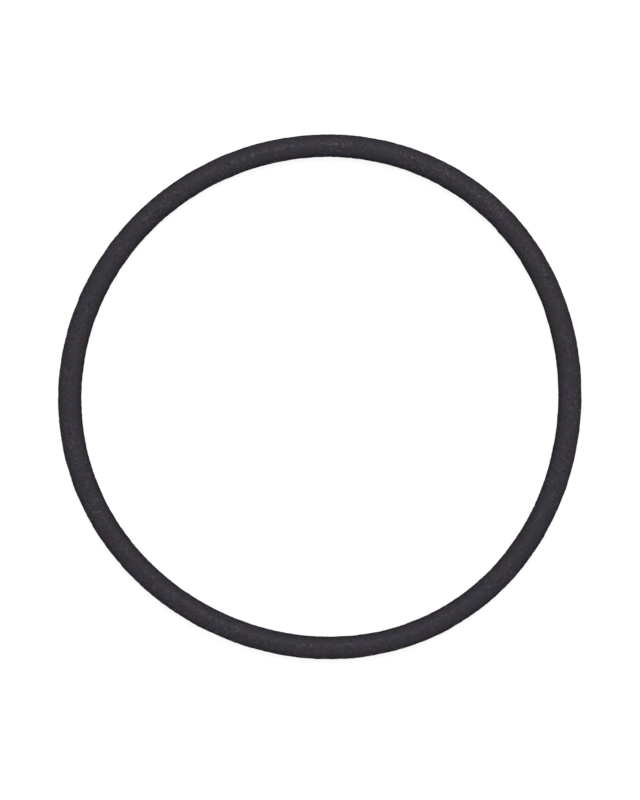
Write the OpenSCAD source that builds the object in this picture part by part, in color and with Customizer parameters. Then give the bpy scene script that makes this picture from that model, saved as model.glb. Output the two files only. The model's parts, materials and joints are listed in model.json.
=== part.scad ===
// Rubber o-ring, moulded in one piece and lying flat as it comes to rest.
// Lengths are in millimetres. +Z runs along the ring's axis, and the origin is
// the middle of the hole, on the plane where the two halves of the mould meet.

/* [Ring] */
// Inside diameter of the free ring, measured across the hole to the round wall
inside_d = 37.82; // [20:0.01:120]
// Diameter of the round rubber section
section_d = 1.78; // [1:0.01:7]

/* [Parting line] */
// How far the trimmed flash stands proud of the round section
flash_h = 0.02; // [0.01:0.005:0.08]
// Width of the flash along its flat crest
flash_crest_w = 0.1; // [0.06:0.01:0.2]
// Width that each sloping flank adds beside the crest
flash_flank_w = 0.04; // [0.02:0.01:0.1]

/* [Hidden] */
rubber = [0.22, 0.21, 0.235];
section_r = section_d / 2;
// Radius of the circle that the middle of the section follows
path_r = inside_d / 2 + section_r;
crest_half_w = flash_crest_w / 2;
foot_half_w = crest_half_w + flash_flank_w;
crest_x = section_r + flash_h;
// Where a flank meets the round section
foot_x = sqrt(section_r * section_r - foot_half_w * foot_half_w);
SECTION_FACETS = 72;
RING_FACETS = 360;

// The film of rubber that the mould halves nip at their joint, trimmed back to
// a low ridge. It crosses the whole section, so one outline makes the ridge on
// the hole side and the one on the outer side.
module parting_film() {
    polygon([
        [-crest_x, -crest_half_w],
        [-foot_x, -foot_half_w],
        [foot_x, -foot_half_w],
        [crest_x, -crest_half_w],
        [crest_x, crest_half_w],
        [foot_x, foot_half_w],
        [-foot_x, foot_half_w],
        [-crest_x, crest_half_w]
    ]);
}

module moulded_section() {
    circle(r = section_r, $fn = SECTION_FACETS);
    parting_film();
}

module o_ring() {
    color(rubber)
        rotate_extrude($fn = RING_FACETS)
            translate([path_r, 0])
                moulded_section();
}

o_ring();
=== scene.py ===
"""A rubber o-ring lying flat on a pale floor, seen square-on from above.

The ring's sizes come from the frame. This script gives the ring its moulded skin: the slightly
relaxed outline of a soft ring, the ragged edge of its trimmed flash, the grain of the mould and
the charcoal finish of rubber that has been rubbed a little. Its colour also carries painted light:
light marks that are partly painted glints, and painted shade down the sides and in the pits.
"""
import json
import math

import bpy
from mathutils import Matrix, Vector, noise


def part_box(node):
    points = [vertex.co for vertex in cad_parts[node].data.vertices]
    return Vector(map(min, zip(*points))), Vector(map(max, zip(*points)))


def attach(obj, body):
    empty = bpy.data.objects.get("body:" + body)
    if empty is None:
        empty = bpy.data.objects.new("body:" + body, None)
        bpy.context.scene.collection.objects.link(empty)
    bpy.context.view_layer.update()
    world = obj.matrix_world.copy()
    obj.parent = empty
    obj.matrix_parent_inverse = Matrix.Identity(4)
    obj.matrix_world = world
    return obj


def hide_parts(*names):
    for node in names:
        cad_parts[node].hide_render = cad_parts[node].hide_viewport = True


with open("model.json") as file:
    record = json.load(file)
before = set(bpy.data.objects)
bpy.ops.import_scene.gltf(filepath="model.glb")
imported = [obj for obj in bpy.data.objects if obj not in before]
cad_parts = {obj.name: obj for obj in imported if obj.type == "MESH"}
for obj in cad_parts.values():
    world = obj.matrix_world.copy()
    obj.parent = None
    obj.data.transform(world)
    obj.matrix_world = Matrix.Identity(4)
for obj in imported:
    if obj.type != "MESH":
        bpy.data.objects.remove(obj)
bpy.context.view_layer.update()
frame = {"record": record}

MM = 0.001

# Sizes that the frame gives
mounts = {mount["name"]: mount["dims"] for mount in frame["record"]["mounts"]}
inner_crest_r = mounts["inner_seat"]["r_mm"] * MM
outer_crest_r = mounts["outer_seat"]["r_mm"] * MM
crest_half_w = mounts["outer_seat"]["length_mm"] * MM / 2
ring_low, ring_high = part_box("o_ring")
floor_z = ring_low.z
section_r = (ring_high.z - ring_low.z) / 2
path_r = (inner_crest_r + outer_crest_r) / 2
flash_h = (outer_crest_r - inner_crest_r) / 2 - section_r

# The relaxed outline: how far the free ring strays from a true circle
THREE_LOBE = 0.17 * MM
THREE_LOBE_AT = math.radians(60)
OVAL = 0.045 * MM
OVAL_AT = math.radians(72)
SQUARE = 0.04 * MM
SQUARE_AT = math.radians(35)
# The section is this much fuller in radius here and across from here
FULLER = 0.014 * MM
FULLER_AT = math.radians(17)

# Mesh of the skin
STEPS_ALONG = 1200
STEPS_PER_ARC = 36
FLASH_FLANK_W = 0.04 * MM

# Relief of the skin: size of the marks, and height at their strongest
GRAIN_SIZE = 0.26 * MM
GRAIN_HEIGHT = 0.02 * MM
SWELL_SIZE = 1.3 * MM
SWELL_HEIGHT = 0.02 * MM
FLASH_RAG_SIZE = 0.7 * MM
# The rag as shares of the flash's height: even part, coarse part, and fine part with its finer size
FLASH_LEFT = 1.0
COARSE_RAG = 0.8
FINE_RAG = 0.4
FINE_RAG_TIMES_FINER = 3.1

# Nibs that the trimming left on the hole side: angle round the ring, height, length
NIBS = [
    (math.radians(43), 0.05 * MM, 0.35 * MM),
    (math.radians(59.5), 0.03 * MM, 0.4 * MM),
]

# The noise patterns mostly stay between these two values
NOISE_LOW = 0.3
NOISE_HIGH = 0.7

# Colour of the rubber, and two tints that come and go in patches of these sizes
RUBBER = (0.0426, 0.0378, 0.0479)
TO_VIOLET = (0.0070, -0.0084, 0.0248)
TO_BROWN = (0.0186, -0.0068, -0.0135)
VIOLET_SIZE = 1.05 * MM
BROWN_SIZE = 0.97 * MM
TINT_DETAIL = 2.0
BROWN_DISTORTION = 0.3

# Painted shade by the parting line: the colour darkens down the sides of the ring, standing in for
# the dark rims that the light leaves there. Also light and dark over the whole skin. The painted
# shade, the wear down the sides and the duller finish there run from one height to another, as FROM
# and TO say.
# Those heights are shares of the way from the parting line to the crest of the ring.
PAINTED_RIM_SHADE = 0.62
RIM_FROM = 0.38
RIM_TO = 0.6
CLOUD = 0.04
CLOUD_SIZE = 0.7 * MM
GRAIN_MARK = 0.2 * MM
SPECKLE = 0.07

# Where the ring is rubbed: patches of wear, and how much of it is left down the sides. WORN_FROM and
# WORN_TO are values of the patches' noise.
WORN_SIZE = 2.4 * MM
WORN_FROM = 0.38
WORN_TO = 0.62
WORN_LEAST = 0.35
SIDE_WEAR = 0.7
SIDE_FROM = 0.75
SIDE_TO = 0.97

# The marks of the rubbing. A dash or fleck starts where its noise rises past the gate, and a pit
# where its noise falls below the gate.
DASH_W = 0.18 * MM
DASH_SHAPE = 1.7
DASH_TURN = math.radians(5)
DASH_DISTORTION = 0.3
DASH_GATE = 0.63
DASH_RISE = 0.16
FLECK_SIZE = 0.24 * MM
FLECK_DISTORTION = 1.5
FLECK_GATE = 0.64
FLECK_RISE = 0.18
PIT_SIZE = 0.2 * MM
PIT_GATE = 0.3
PIT_FALL = 0.08
# Painted shade: how dark the colour gets in the pits
PAINTED_PIT_SHADE = 0.55

# What the marks look like: their colour, lighter than the rubber as rubbed bloom and partly as a
# painted glint, their height and their thin gloss
BLOOM_AND_PAINTED_GLINT = (0.064, 0.060, 0.069, 1)
GRAIN_BUMP = 0.15
MARK_BUMP = 0.018 * MM
RUB_GLOSS = 0.27
RUB_ROUGHNESS = 0.3

# Finish of the rubber, duller down the sides than on the crest
SPECULAR = 0.065
ROUGHNESS = 0.45
FLANK_ROUGHNESS = 0.95
CREST_FROM = 0.68
CREST_TO = 0.9

# Light: one soft box leaning towards the top of the picture and a little to the right, a weak
# even light from all round, and a floor that glows so that it shows as white
LAMP_AWAY = 0.45
LAMP_WIDTH = 0.24
LAMP_LEAN = math.radians(24)
LAMP_SIDE = math.radians(4)
LAMP_SHARE = 0.45
AMBIENT = 0.43
FLOOR_HALF = 1.2
FLOOR_SHADE = 0.25
FLOOR_GLOW = 0.88

# The photograph's frame, and the ring in it
PHOTO_W_PX = 640
PHOTO_H_PX = 800
RING_CENTRE_PX = (322.0, 396.8)
RING_OUTER_R_PX = 262.45
LENS_MM = 200.0
SENSOR_MM = 36.0
# The camera sees from this many times nearer than the ring to as many times farther
CLIP_TIMES = 100


def relaxed_radius(angle):
    """Radius of the section's middle at an angle round the free ring."""
    return (
        path_r
        + THREE_LOBE * math.cos(3 * (angle - THREE_LOBE_AT))
        + OVAL * math.cos(2 * (angle - OVAL_AT))
        + SQUARE * math.cos(4 * (angle - SQUARE_AT))
    )


def flash_rag(angle, side):
    """How much of the flash is left at an angle round the ring, as a share of its height."""
    spot = Vector((math.cos(angle), math.sin(angle), side)) * path_r / FLASH_RAG_SIZE
    fine = noise.noise(spot * FINE_RAG_TIMES_FINER)
    return FLASH_LEFT + COARSE_RAG * noise.noise(spot) + FINE_RAG * fine


def nib_height(angle):
    """Extra height of the hole side's flash where a nib stands near an angle round the ring."""
    height = 0.0
    for at, nib_h, nib_length in NIBS:
        away = math.remainder(angle - at, math.tau) * path_r / (nib_length / 2)
        height += nib_h * math.exp(-away * away)
    return height


def skin_relief(point):
    """Height of the moulded grain and of the slow swells at a point of the smooth ring."""
    grain = noise.noise(point / GRAIN_SIZE)
    swell = noise.noise(point / SWELL_SIZE)
    return GRAIN_HEIGHT * grain + SWELL_HEIGHT * swell


def section_outline():
    """(angle, side, flash share) round the section, outward first and then up.

    Side is 1 on the outer flash, -1 on the inner one and 0 on the round wall. The flash share
    is 1 on the crest and 0 at the feet of its flanks.
    """
    foot = math.asin((crest_half_w + FLASH_FLANK_W) / section_r)
    crest = math.atan2(crest_half_w, section_r + flash_h)
    outline = []
    for middle, side in ((0.0, 1), (math.pi, -1)):
        outline += [(middle - crest, side, 1.0), (middle, side, 1.0), (middle + crest, side, 1.0)]
        arc_from = middle + foot
        arc_step = (math.pi - 2 * foot) / STEPS_PER_ARC
        outline += [(arc_from + i * arc_step, 0, 0.0) for i in range(STEPS_PER_ARC + 1)]
    return outline


def ring_mesh(name):
    """The skin of the ring as one closed mesh of quads."""
    outline = section_outline()
    rows = len(outline)
    points = []
    for i in range(STEPS_ALONG):
        angle = math.tau * i / STEPS_ALONG
        outward = Vector((math.cos(angle), math.sin(angle), 0))
        middle = outward * relaxed_radius(angle)
        thick = section_r + FULLER * math.cos(2 * (angle - FULLER_AT))
        left = {side: flash_h * flash_rag(angle, side) for side in (1, -1)}
        left[-1] += nib_height(angle)
        for turn, side, share in outline:
            normal = outward * math.cos(turn) + Vector((0, 0, math.sin(turn)))
            smooth = middle + normal * thick
            height = skin_relief(smooth)
            if side:
                height += share * left[side]
            point = smooth + normal * height
            point.z = max(point.z, floor_z)
            points.append(point)
    faces = []
    for i in range(STEPS_ALONG):
        here, there = i * rows, (i + 1) % STEPS_ALONG * rows
        for j in range(rows):
            k = (j + 1) % rows
            faces.append((here + j, there + j, there + k, here + k))
    mesh = bpy.data.meshes.new(name)
    mesh.from_pydata(points, [], faces)
    mesh.polygons.foreach_set("use_smooth", [True] * len(mesh.polygons))
    mesh.update()
    return mesh


def node_adder(owner):
    """Empty the node tree of a material or world, and return a function that adds a node to it."""
    owner.use_nodes = True
    tree = owner.node_tree
    tree.nodes.clear()

    def add(kind, inputs=(), **settings):
        node = tree.nodes.new(kind)
        for key, value in settings.items():
            setattr(node, key, value)
        for key, value in dict(inputs).items():
            if isinstance(value, bpy.types.NodeSocket):
                tree.links.new(value, node.inputs[key])
            else:
                node.inputs[key].default_value = value
        return node

    return add


def calculator(add):
    """Functions that add one Math, Map Range or colour Mix node and return its result."""

    def calc(operation, first, second=0.0):
        return add("ShaderNodeMath", {0: first, 1: second}, operation=operation).outputs[0]

    def remap(value, low, high, to_low=0.0, to_high=1.0):
        inputs = {0: value, 1: low, 2: high, 3: to_low, 4: to_high}
        return add("ShaderNodeMapRange", inputs).outputs[0]

    def blend(share, first, second):
        node = add("ShaderNodeMix", {0: share, 6: first, 7: second}, data_type="RGBA")
        return node.outputs[2]

    return calc, remap, blend


def rubber_material():
    """Charcoal rubber with patches of tint, a fine grain, and light, slightly glossy rubbed marks.
    Their lightness is partly a painted glint, and painted shade darkens the colour down the sides and
    in the pits.
    """
    material = bpy.data.materials.new("moulded_rubber")
    add = node_adder(material)
    calc, remap, blend = calculator(add)
    place = add("ShaderNodeTexCoord").outputs["Object"]
    height = add("ShaderNodeSeparateXYZ", {0: place}).outputs["Z"]
    # 0 on the parting line and 1 on the highest and lowest line of the ring
    upness = calc("DIVIDE", calc("ABSOLUTE", height), section_r)

    def spots(size, detail=0.0, distortion=0.0, shape=1.0, turn=0.0):
        """Noise with marks about this wide, drawn out along one line of the ring's plane."""
        scale = (size * shape, size, size)
        stretched = add(
            "ShaderNodeMapping",
            {"Vector": place, "Rotation": (0, 0, turn), "Scale": scale},
            vector_type="TEXTURE",
        ).outputs[0]
        inputs = {"Vector": stretched, "Scale": 1.0, "Detail": detail, "Distortion": distortion}
        return add("ShaderNodeTexNoise", inputs).outputs["Fac"]

    def shifted(colour, towards, patches):
        """A colour with a tint that comes and goes in patches."""
        inputs = {0: calc("SUBTRACT", patches, 0.5), 1: towards, 2: colour}
        return add("ShaderNodeVectorMath", inputs, operation="MULTIPLY_ADD").outputs[0]

    def dashes(turn):
        """Short scuffs along one line of the ring's plane."""
        pattern = spots(DASH_W, distortion=DASH_DISTORTION, shape=DASH_SHAPE, turn=turn)
        return remap(pattern, DASH_GATE, DASH_GATE + DASH_RISE)

    def varied(pattern, by):
        """A factor that a noise pattern moves up and down from 1."""
        return remap(pattern, NOISE_LOW, NOISE_HIGH, 1 - by, 1 + by)

    tint = shifted(RUBBER, TO_VIOLET, spots(VIOLET_SIZE, TINT_DETAIL))
    tint = shifted(tint, TO_BROWN, spots(BROWN_SIZE, TINT_DETAIL, BROWN_DISTORTION))

    grain = spots(GRAIN_MARK)
    clouds = varied(spots(CLOUD_SIZE, 1.0), CLOUD)
    speckle = varied(grain, SPECKLE)
    # Painted shade: the colour darkens down the sides towards the parting line, as the light would
    # leave them dark
    painted_rim_shade = remap(upness, RIM_FROM, RIM_TO, PAINTED_RIM_SHADE, 1.0)

    # The marks crowd together in worn patches and thin out down the sides
    worn = remap(spots(WORN_SIZE, 1.0), WORN_FROM, WORN_TO, WORN_LEAST, 1.0)
    wear = calc("MULTIPLY", worn, remap(upness, SIDE_FROM, SIDE_TO, SIDE_WEAR, 1.0))
    fleck_pattern = spots(FLECK_SIZE, 1.0, FLECK_DISTORTION)
    flecks = remap(fleck_pattern, FLECK_GATE, FLECK_GATE + FLECK_RISE)
    lines = calc("MAXIMUM", dashes(DASH_TURN), dashes(DASH_TURN + math.radians(90)))
    marks = calc("MULTIPLY", calc("MAXIMUM", flecks, lines), wear)
    pits = calc("MULTIPLY", remap(spots(PIT_SIZE), PIT_GATE, PIT_GATE - PIT_FALL), wear)

    value = calc("MULTIPLY", calc("MULTIPLY", clouds, speckle), painted_rim_shade)
    # Painted shade in the pits: their colour darkens as if shadowed
    value = calc("MULTIPLY", value, remap(pits, 0.0, 1.0, 1.0, PAINTED_PIT_SHADE))
    toned = add("ShaderNodeVectorMath", {0: tint, "Scale": value}, operation="SCALE").outputs[0]
    # The marks' light colour is rubbed bloom and partly a painted glint
    marked = blend(marks, toned, BLOOM_AND_PAINTED_GLINT)

    raised = calc("ADD", calc("MULTIPLY", grain, GRAIN_BUMP), calc("SUBTRACT", marks, pits))
    bump = add("ShaderNodeBump", {"Strength": 1.0, "Distance": MARK_BUMP, "Height": raised})
    shader = add(
        "ShaderNodeBsdfPrincipled",
        {
            "Base Color": marked,
            "Roughness": remap(upness, CREST_FROM, CREST_TO, FLANK_ROUGHNESS, ROUGHNESS),
            "Coat Weight": calc("MULTIPLY", marks, RUB_GLOSS),
            "Coat Roughness": RUB_ROUGHNESS,
            "Normal": bump.outputs["Normal"],
            "Specular IOR Level": SPECULAR,
        },
    )
    add("ShaderNodeOutputMaterial", {"Surface": shader.outputs["BSDF"]})
    return material


def seen_directly(add):
    """1 for rays that show a surface as itself: from the camera, or through gloss or glass."""
    path = add("ShaderNodeLightPath")
    camera_or_gloss = add(
        "ShaderNodeMath",
        {0: path.outputs["Is Camera Ray"], 1: path.outputs["Is Glossy Ray"]},
        operation="MAXIMUM",
    )
    either = add(
        "ShaderNodeMath",
        {0: camera_or_gloss.outputs[0], 1: path.outputs["Is Transmission Ray"]},
        operation="MAXIMUM",
    )
    return either.outputs[0]


def floor_material():
    """Pale floor that keeps the ring's shadow and shows as white away from it."""
    material = bpy.data.materials.new("floor")
    add = node_adder(material)
    diffuse = add("ShaderNodeBsdfDiffuse", {"Color": (FLOOR_SHADE, FLOOR_SHADE, FLOOR_SHADE, 1)})
    glow = add(
        "ShaderNodeMath", {0: seen_directly(add), 1: FLOOR_GLOW}, operation="MULTIPLY"
    ).outputs[0]
    light = add("ShaderNodeEmission", {"Color": (1, 1, 1, 1), "Strength": glow})
    both = add("ShaderNodeAddShader", {0: diffuse.outputs[0], 1: light.outputs[0]})
    add("ShaderNodeOutputMaterial", {"Surface": both.outputs[0]})
    return material


def make_floor():
    """A wide flat floor that the ring lies on."""
    mesh = bpy.data.meshes.new("floor")
    corners = [(-1, -1), (1, -1), (1, 1), (-1, 1)]
    points = [(x * FLOOR_HALF, y * FLOOR_HALF, floor_z) for x, y in corners]
    mesh.from_pydata(points, [], [(0, 1, 2, 3)])
    mesh.materials.append(floor_material())
    floor = bpy.data.objects.new("floor", mesh)
    bpy.context.scene.collection.objects.link(floor)


def make_world():
    """White wherever it is seen, and a weak even light on everything else."""
    world = bpy.data.worlds.new("studio")
    add = node_adder(world)
    level = add("ShaderNodeMapRange", {"Value": seen_directly(add), "To Min": AMBIENT, "To Max": 1.0})
    sky = add("ShaderNodeBackground", {"Color": (1, 1, 1, 1), "Strength": level.outputs["Result"]})
    add("ShaderNodeOutputWorld", {"Surface": sky.outputs[0]})
    bpy.context.scene.world = world


def make_lamp():
    """One soft box over the ring, turned to face it."""
    data = bpy.data.lights.new("softbox", "AREA")
    data.shape = "DISK"
    data.size = LAMP_WIDTH
    data.energy = LAMP_SHARE * math.pi**2 * LAMP_AWAY**2
    lamp = bpy.data.objects.new("softbox", data)
    up = Vector((math.tan(LAMP_SIDE), math.tan(LAMP_LEAN), 1)).normalized()
    lamp.location = up * LAMP_AWAY
    lamp.rotation_euler = up.to_track_quat("Z", "Y").to_euler()
    lamp.visible_camera = False
    bpy.context.scene.collection.objects.link(lamp)


def make_camera():
    """Straight above the ring, so far off that the ring is as wide as in the photograph."""
    metres_per_px = outer_crest_r / RING_OUTER_R_PX
    data = bpy.data.cameras.new("camera")
    data.lens = LENS_MM
    data.sensor_width = SENSOR_MM
    camera = bpy.data.objects.new("camera", data)
    camera.location = (
        (PHOTO_W_PX / 2 - RING_CENTRE_PX[0]) * metres_per_px,
        (RING_CENTRE_PX[1] - PHOTO_H_PX / 2) * metres_per_px,
        PHOTO_H_PX * metres_per_px * LENS_MM / SENSOR_MM,
    )
    data.clip_start = camera.location.z / CLIP_TIMES
    data.clip_end = camera.location.z * CLIP_TIMES
    bpy.context.scene.collection.objects.link(camera)
    bpy.context.scene.camera = camera


make_camera()
make_lamp()
make_world()
make_floor()

skin = bpy.data.objects.new("o_ring_skin", ring_mesh("o_ring_skin"))
skin.data.materials.append(rubber_material())
bpy.context.scene.collection.objects.link(skin)
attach(skin, "root")
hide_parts("o_ring")

bpy.context.scene.view_settings.view_transform = "Standard"
